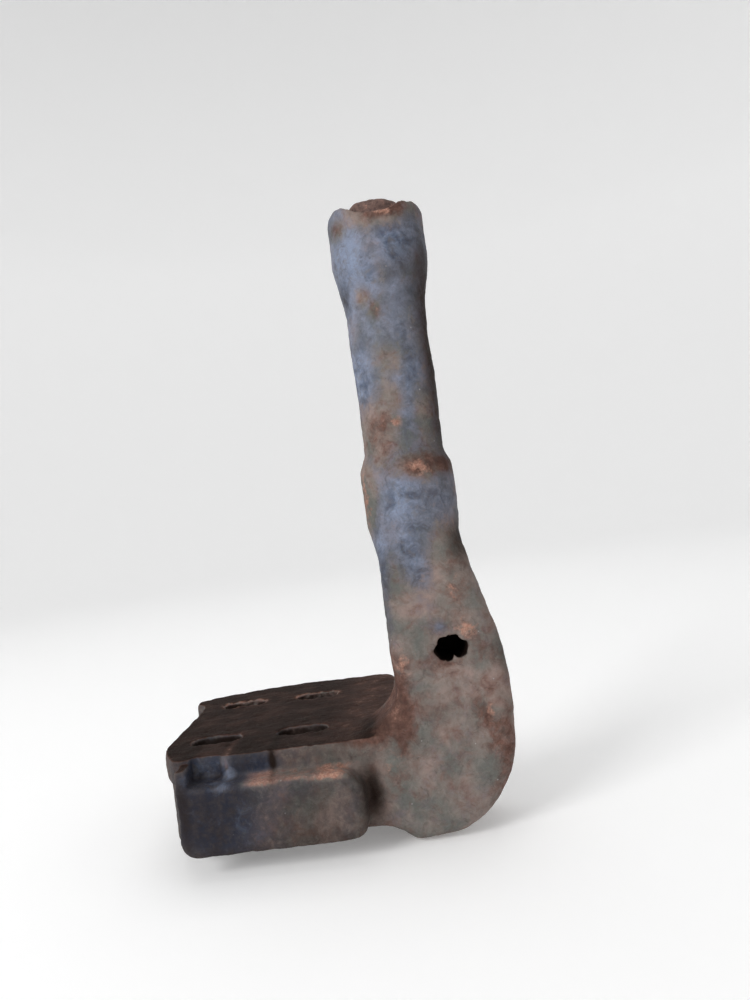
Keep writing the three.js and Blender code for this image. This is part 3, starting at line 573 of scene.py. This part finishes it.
def colour_fields(mesh):
    """Where paint, rust, bright rust and dirt lie, with the painted highlights, glints and shade, as vertex
    attributes for the material.
    """
    points = points_of(mesh)
    normals = normals_of(mesh)
    mean = neighbour_mean(mesh)
    x, y, z = points.T
    broad = rough(points, 30, seed=11)
    drift = rough(points, 12, seed=12)

    bend = np.sum((points - mean(points)) * normals, 1)
    for _ in range(2):
        bend = 0.5 * (bend + mean(bend))
    relief = np.clip(0.5 + 3.2 * bend, 0, 1)
    front_slots = (slot_gap(points) < 4) & (y < 0)
    store(mesh, "relief", np.where(front_slots, np.minimum(relief, 0.5), relief))

    seen = {name: patches(points, name) for name in PATCHES}
    back_wear = slot_wear(points) * (y > 0)
    foot = smoothstep(46, 36, x)
    top_face = smoothstep(0.7, 0.95, normals[:, 2]) * smoothstep(-3, -1, z) * smoothstep(4, 1, z)
    barrel = smoothstep(30, 75, z)
    under = smoothstep(-0.3, -0.8, normals[:, 2])
    paint = 0.13 + 0.42 * barrel + 0.18 * foot + 0.2 * drift
    paint += seen["paint"] - seen["bare"] - 1.2 * top_face - 0.15 * under
    paint -= 0.35 * seen["rust"] + 0.5 * seen["orange"]
    rust = 0.26 - 0.08 * barrel + 0.2 * broad + seen["rust"] + 1.3 * top_face
    # Bright rust with painted glints, on the back slots' worn rims too.
    orange = -0.05 + 0.12 * drift + 0.25 * top_face * smoothstep(20, 40, x) + seen["orange"] + 0.5 * back_wear
    # Painted light: lighter paint on the barrel, darker on the foot, and the listed highlights.
    light = 0.34 + 0.24 * barrel - 0.18 * foot + seen["light"]
    # Painted shade, with some grime: darker over the foot, darkest on the foot's top face and easing towards
    # its right end, plus the front's dark patches.
    dark = np.maximum(0.44 * foot, 0.83 * top_face) + seen["dark"] + 0.12 * np.clip(broad, 0, 1)
    dark -= top_face * (0.12 * smoothstep(-0.1, 0.5, drift) + 0.2 * smoothstep(22, 42, x) + 0.08 * broad)
    dark -= 0.45 * seen["orange"] + 0.2 * back_wear

    # Painted shade inside the bore, the root hole and the slots.
    bore = smoothstep(15.0, 14.0, from_axis(points, AXIS, (0, 1))) * (z > BORE_BOTTOM)
    hollow = smoothstep(7.4, 6.2, from_axis(points, ROOT_HOLE, (0, 2)))
    inside = y - CASTING_LOW[1] - ROOT_FACE_IN
    hollow *= smoothstep(0.6, 2.4, inside) * (y < AXIS[1] + 14)
    in_slot = smoothstep(1.2, -0.2, slot_gap(points)) * smoothstep(-0.4, -1.4, z)
    dark = np.max([dark, 1.3 * hollow, 0.45 * bore, 0.93 * in_slot], 0)
    fields = {"paint": paint, "rust": rust, "orange": orange, "light": light, "dark": dark}
    for name, values in fields.items():
        store(mesh, name, np.clip(values, -0.5, 1.5))


def casting():
    """The casting: remeshed finely, roughened, thinned out again and coloured."""
    mesh = with_modifier(bare_mesh("bracket_casting"), "REMESH", mode="VOXEL", voxel_size=CASTING_VOXEL * MM)
    cast_skin(mesh)
    triangles = sum(len(face.vertices) - 2 for face in mesh.polygons)
    if triangles > CASTING_FACES:
        mesh = with_modifier(mesh, "DECIMATE", ratio=CASTING_FACES / triangles)
    colour_fields(mesh)
    mesh.shade_smooth()
    return shown("casting", mesh, "bracket_casting", "bracket", casting_material())


casting()


# ---------- plain metals ----------


def metal_material(name, bright, dull, roughness, grime):
    """A metal with darker stains, a fine grain and uneven gloss."""
    material, tree, place, shader = new_material(name)
    stains = noise_of(tree, place, 4, 5, 0.65, 0.5)
    fine = noise_of(tree, place, 1.2, 4, 0.7)
    colour = mixed(tree, ramp(tree, fine, 0.3, 0.75), bright, dull)
    dirt = ramp(tree, stains, 0.6 - grime * 0.3, 0.85 - grime * 0.3)
    colour = mixed(tree, dirt, colour, linear(58, 44, 38))
    tree.links.new(colour, shader.inputs["Base Color"])
    gloss = ramp(tree, stains, 0.2, 0.8, roughness - 0.08, roughness + 0.25)
    tree.links.new(gloss, shader.inputs["Roughness"])
    shader.inputs["Metallic"].default_value = 1.0
    bump_on(tree, shader, fine, 0.12)
    return material


def rusted_steel(name, light, dark, orange):
    """Steel under a crust of rust, brighter where it has been rubbed."""
    material, tree, place, shader = new_material(name)
    crust = noise_of(tree, place, 2.4, 6, 0.7, 0.4)
    fine = noise_of(tree, place, 0.7, 4, 0.7)
    colour = mixed(tree, ramp(tree, crust, 0.34, 0.66), dark, light)
    colour = mixed(tree, ramp(tree, crust, 0.56, 0.74), colour, orange)
    colour = mixed(tree, ramp(tree, fine, 0.55, 0.85, 0.0, 0.6), colour, linear(48, 36, 32))
    tree.links.new(colour, shader.inputs["Base Color"])
    tree.links.new(ramp(tree, fine, 0.2, 0.8, 0.7, 0.95), shader.inputs["Roughness"])
    shader.inputs["Metallic"].default_value = 0.15
    height = sum_of(tree, crust, sum_of(tree, fine, 0.4, "MULTIPLY"))
    bump_on(tree, shader, height, 0.4)
    return material


def rubber_material():
    """Black rubber with a dusty bloom."""
    material, tree, place, shader = new_material("aged_rubber")
    fine = noise_of(tree, place, 1.6, 5, 0.7)
    colour = mixed(tree, ramp(tree, fine, 0.35, 0.75), linear(34, 32, 31), linear(62, 56, 52))
    tree.links.new(colour, shader.inputs["Base Color"])
    tree.links.new(ramp(tree, fine, 0.2, 0.8, 0.7, 0.9), shader.inputs["Roughness"])
    bump_on(tree, shader, fine, 0.1)
    return material


BRONZE = metal_material("bush_bronze", linear(190, 146, 92), linear(142, 102, 62), 0.34, 0.5)
BRASS = metal_material("nipple_brass", linear(196, 168, 104), linear(150, 120, 70), 0.32, 0.75)
DISC = metal_material("disc_steel", linear(172, 172, 170), linear(126, 124, 122), 0.3, 0.35)
FASTENER = rusted_steel("fastener_rust", linear(122, 84, 66), linear(66, 48, 42), linear(168, 104, 70))
PIN_RUST = rusted_steel("pin_rust", linear(124, 98, 90), linear(84, 66, 61), linear(176, 128, 110))
RUBBER = rubber_material()

EDGE_BEVEL = 0.35
SHARP_FROM = 28                      # degrees between faces at which an edge counts as sharp
PIN_VOXEL = 0.5


def rounded(node):
    """A node's shape with its sharp edges rounded off."""
    mesh = with_modifier(
        bare_mesh(node), "BEVEL", width=EDGE_BEVEL * MM, segments=2, limit_method="ANGLE",
        angle_limit=math.radians(SHARP_FROM), use_clamp_overlap=True,
    )
    mesh.shade_smooth()
    return with_modifier(mesh, "WEIGHTED_NORMAL")


def hinge_pin():
    """The pin: its head is roughened, and its shank, inside the barrel, is left plain."""
    mesh = with_modifier(bare_mesh("hinge_pin"), "REMESH", mode="VOXEL", voxel_size=PIN_VOXEL * MM)
    points = points_of(mesh)
    head = smoothstep(BARREL_TOP - 1.2, BARREL_TOP + 0.4, points[:, 2])
    mean = neighbour_mean(mesh)
    for _ in range(4):
        points += (mean(points) - points) * (0.5 * head)[:, None]
    move_points(mesh, points)
    lumps = rough(points, 6, seed=21) * 0.35
    grain = rough(points, 1.8, seed=22, octaves=2) * 0.16
    height = (lumps + grain) * head
    move_points(mesh, points + normals_of(mesh) * height[:, None])
    mesh.shade_smooth()
    return shown("pin", mesh, "hinge_pin", "spindle", PIN_RUST)


hinge_pin()
PLAIN_PIECES = [
    ("bush_upper", "upper_bush", "bush_bronze", BRONZE),
    ("bush_lower", "lower_bush", "bush_bronze", BRONZE),
    ("disc", "thrust_disc", "disc_steel", DISC),
    ("seal", "dust_seal", "seal_rubber", RUBBER),
    ("nipple_upper", "upper_grease_nipple", "nipple_brass", BRASS),
    ("nipple_lower", "lower_grease_nipple", "nipple_brass", BRASS),
    ("screw", "pin_retaining_screw", "fastener_steel", FASTENER),
    ("nut", "retaining_lock_nut", "fastener_steel", FASTENER),
]
for piece_name, node_name, slot_name, finish in PLAIN_PIECES:
    shown(piece_name, rounded(node_name), node_name, "bracket", finish)


# ---------- studio, in metres ----------

FLOOR_GAP = 0.0005                   # the floor lies this far under the casting
FLOOR_RADIUS, SWEEP_RADIUS, WALL_HEIGHT = 1.6, 1.2, 1.4
FLOOR_SIDES, SWEEP_STEPS = 96, 12
FLOOR_GLOW = 0.17
WORLD_LIGHT = 0.25
CAMERA_AT = (68.47, -341.65, 83.24)  # millimetres
CAMERA_YAW, CAMERA_PITCH, CAMERA_ROLL = 1.55, 1.28, 7.39
CAMERA_LENS = 27.04
LIT_POINT = (0.05, -0.02, 0.08)
LIGHTS = [                           # name, place, size, power
    ("key", (-1.0, -1.1, 0.95), 0.7, 15),
    ("top", (0.1, 0.5, 1.9), 1.6, 9),
    ("fill", (1.3, -1.2, 0.4), 1.2, 0.8),
]


def studio_floor():
    """A pale round floor whose rim sweeps up into a wall. Low views show where the wall ends."""
    ground = CASTING_LOW[2] * MM - FLOOR_GAP
    profile = [(FLOOR_RADIUS, ground)]
    for step in range(1, SWEEP_STEPS + 1):
        angle = math.pi / 2 * step / SWEEP_STEPS
        out, up = SWEEP_RADIUS * math.sin(angle), SWEEP_RADIUS * (1 - math.cos(angle))
        profile.append((FLOOR_RADIUS + out, ground + up))
    profile.append((FLOOR_RADIUS + SWEEP_RADIUS, ground + SWEEP_RADIUS + WALL_HEIGHT))
    work = bmesh.new()
    hub = work.verts.new((0, 0, ground))
    turn = [2 * math.pi * k / FLOOR_SIDES for k in range(FLOOR_SIDES)]
    rings = []
    for radius, height in profile:
        rings.append([work.verts.new((radius * math.cos(t), radius * math.sin(t), height)) for t in turn])
    for k in range(FLOOR_SIDES):
        after = (k + 1) % FLOOR_SIDES
        work.faces.new((hub, rings[0][k], rings[0][after]))
        for inner, outer in zip(rings, rings[1:]):
            work.faces.new((inner[k], outer[k], outer[after], inner[after]))
    mesh = bpy.data.meshes.new("studio_floor")
    work.to_mesh(mesh)
    work.free()
    mesh.shade_smooth()
    material, _, _, shader = new_material("studio_pale")
    shader.inputs["Base Color"].default_value = (0.92, 0.92, 0.92, 1)
    shader.inputs["Roughness"].default_value = 0.9
    shader.inputs["Specular IOR Level"].default_value = 0.1
    shader.inputs["Emission Color"].default_value = (1, 1, 1, 1)
    shader.inputs["Emission Strength"].default_value = FLOOR_GLOW
    mesh.materials.append(material)
    floor = bpy.data.objects.new("studio_floor", mesh)
    scene.collection.objects.link(floor)


def area_light(name, place, size, power):
    """A square white light that faces the part and is not seen itself."""
    data = bpy.data.lights.new(name, "AREA")
    data.shape = "SQUARE"
    data.size = size
    data.energy = power
    data.color = (1, 1, 1)
    lamp = bpy.data.objects.new(name, data)
    lamp.location = place
    lamp.rotation_euler = (Vector(LIT_POINT) - Vector(place)).to_track_quat("-Z", "Y").to_euler()
    lamp.visible_camera = False
    scene.collection.objects.link(lamp)


def photographer_camera():
    """Near the object and level with the middle of the barrel, tilted to the right."""
    yaw, pitch, roll = map(math.radians, (CAMERA_YAW, CAMERA_PITCH, CAMERA_ROLL))
    turn = Matrix.Rotation(yaw, 3, "Z") @ Matrix.Rotation(pitch, 3, "X")
    ahead, across, above = turn @ Vector((0, 1, 0)), turn @ Vector((1, 0, 0)), turn @ Vector((0, 0, 1))
    right = math.cos(roll) * across - math.sin(roll) * above
    up = math.sin(roll) * across + math.cos(roll) * above
    data = bpy.data.cameras.new("camera")
    data.sensor_width = 36
    data.lens = CAMERA_LENS
    data.clip_start = 0.01
    data.clip_end = 20
    camera = bpy.data.objects.new("camera", data)
    axes = Matrix((right, up, -ahead)).transposed().to_4x4()
    camera.matrix_world = Matrix.Translation(Vector(CAMERA_AT) * MM) @ axes
    scene.collection.objects.link(camera)
    scene.camera = camera


studio_floor()
photographer_camera()
for light_name, light_place, light_size, light_power in LIGHTS:
    area_light(light_name, light_place, light_size, light_power)
world = bpy.data.worlds.new("studio")
world.use_nodes = True
world.node_tree.nodes["Background"].inputs["Color"].default_value = (1, 1, 1, 1)
world.node_tree.nodes["Background"].inputs["Strength"].default_value = WORLD_LIGHT
scene.world = world
scene.view_settings.view_transform = "Standard"
